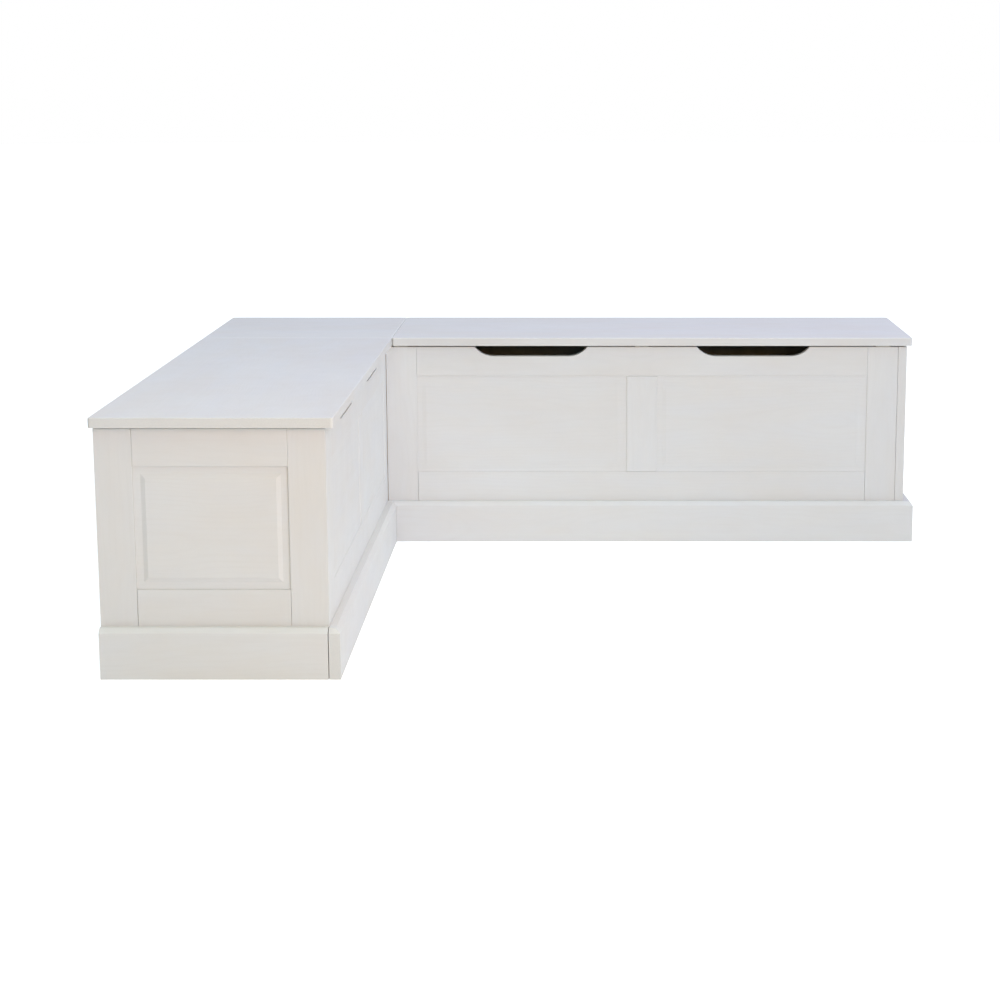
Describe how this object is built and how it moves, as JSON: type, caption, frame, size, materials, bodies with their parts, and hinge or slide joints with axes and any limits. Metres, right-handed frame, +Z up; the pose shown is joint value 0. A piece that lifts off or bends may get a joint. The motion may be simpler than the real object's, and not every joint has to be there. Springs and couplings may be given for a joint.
{
  "type": "corner storage bench",
  "caption": "L-shaped corner storage bench with framed panel fronts, hinged seat lids, hand cut-outs in the top rails and a fixed square corner top.",
  "frame": {"origin": "centre of the footprint's bounding rectangle, on the floor", "axes": "+Z up; the wall corner is at -X, +Y; one arm runs from it along +X and the other towards -Y, the viewer's side"},
  "size_m": [1.575, 1.57, 0.457],
  "materials": {
    "white_paint": "satin white paint over pine, faint grain showing",
    "bare_plywood": "sanded, unpainted",
    "bare_pine": "planed, unpainted",
    "hinge_steel": "bright zinc plated",
    "screw_steel": "zinc plated",
    "lid_pad": "soft, matt"
  },
  "bodies": {
    "carcass": {"corner_cleat_back": "bare_pine", "corner_cleat_inner": "bare_pine", "corner_cleat_near": "bare_pine", "corner_cleat_wall": "bare_pine", "corner_top": "white_paint", "corner_top_screws": "screw_steel", "hinge_rail_screws": "screw_steel", "inner_corner_post": "bare_pine", "left_corner_divider": "bare_plywood", "left_end_bottom_rail": "white_paint", "left_end_panel": "white_paint", "left_end_stile_inner": "white_paint", "left_end_stile_wall": "white_paint", "left_end_top_rail": "white_paint", "left_floor": "bare_plywood", "left_floor_cleat_front": "bare_pine", "left_floor_cleat_wall": "bare_pine", "left_front_bottom_rail": "white_paint", "left_front_muntin": "white_paint", "left_front_panel_corner": "white_paint", "left_front_panel_near": "white_paint", "left_front_stile_corner": "white_paint", "left_front_stile_near": "white_paint", "left_front_top_rail": "white_paint", "left_hinge_fixed_leaves": "hinge_steel", "left_hinge_pins": "hinge_steel", "left_hinge_rail": "white_paint", "left_lid_pads": "lid_pad", "left_plinth_end": "white_paint", "left_plinth_front": "white_paint", "left_wall_panel": "white_paint", "right_corner_divider": "bare_plywood", "right_end_bottom_rail": "white_paint", "right_end_panel": "white_paint", "right_end_stile_front": "white_paint", "right_end_stile_wall": "white_paint", "right_end_top_rail": "white_paint", "right_floor": "bare_plywood", "right_floor_cleat_front": "bare_pine", "right_floor_cleat_wall": "bare_pine", "right_front_bottom_rail": "white_paint", "right_front_muntin": "white_paint", "right_front_panel_corner": "white_paint", "right_front_panel_far": "white_paint", "right_front_stile_corner": "white_paint", "right_front_stile_far": "white_paint", "right_front_top_rail": "white_paint", "right_hinge_fixed_leaves": "hinge_steel", "right_hinge_pins": "hinge_steel", "right_hinge_rail": "white_paint", "right_lid_pads": "lid_pad", "right_plinth_end": "white_paint", "right_plinth_front": "white_paint", "right_wall_panel": "white_paint"},
    "left_lid": {"left_lid": "white_paint", "left_hinge_moving_leaves": "hinge_steel", "left_lid_screws": "screw_steel"},
    "right_lid": {"right_lid": "white_paint", "right_hinge_moving_leaves": "hinge_steel", "right_lid_screws": "screw_steel"}
  },
  "joints": [
    {"name": "left_lid_hinge", "type": "hinge", "parent": "carcass", "child": "left_lid", "pos_m": [-0.7849, -0.2, 0.4375], "axis": [0, -1, 0], "range_deg": [0, 95]},
    {"name": "right_lid_hinge", "type": "hinge", "parent": "carcass", "child": "right_lid", "pos_m": [0.2, 0.7824, 0.4375], "axis": [-1, 0, 0], "range_deg": [0, 95]}
  ]
}
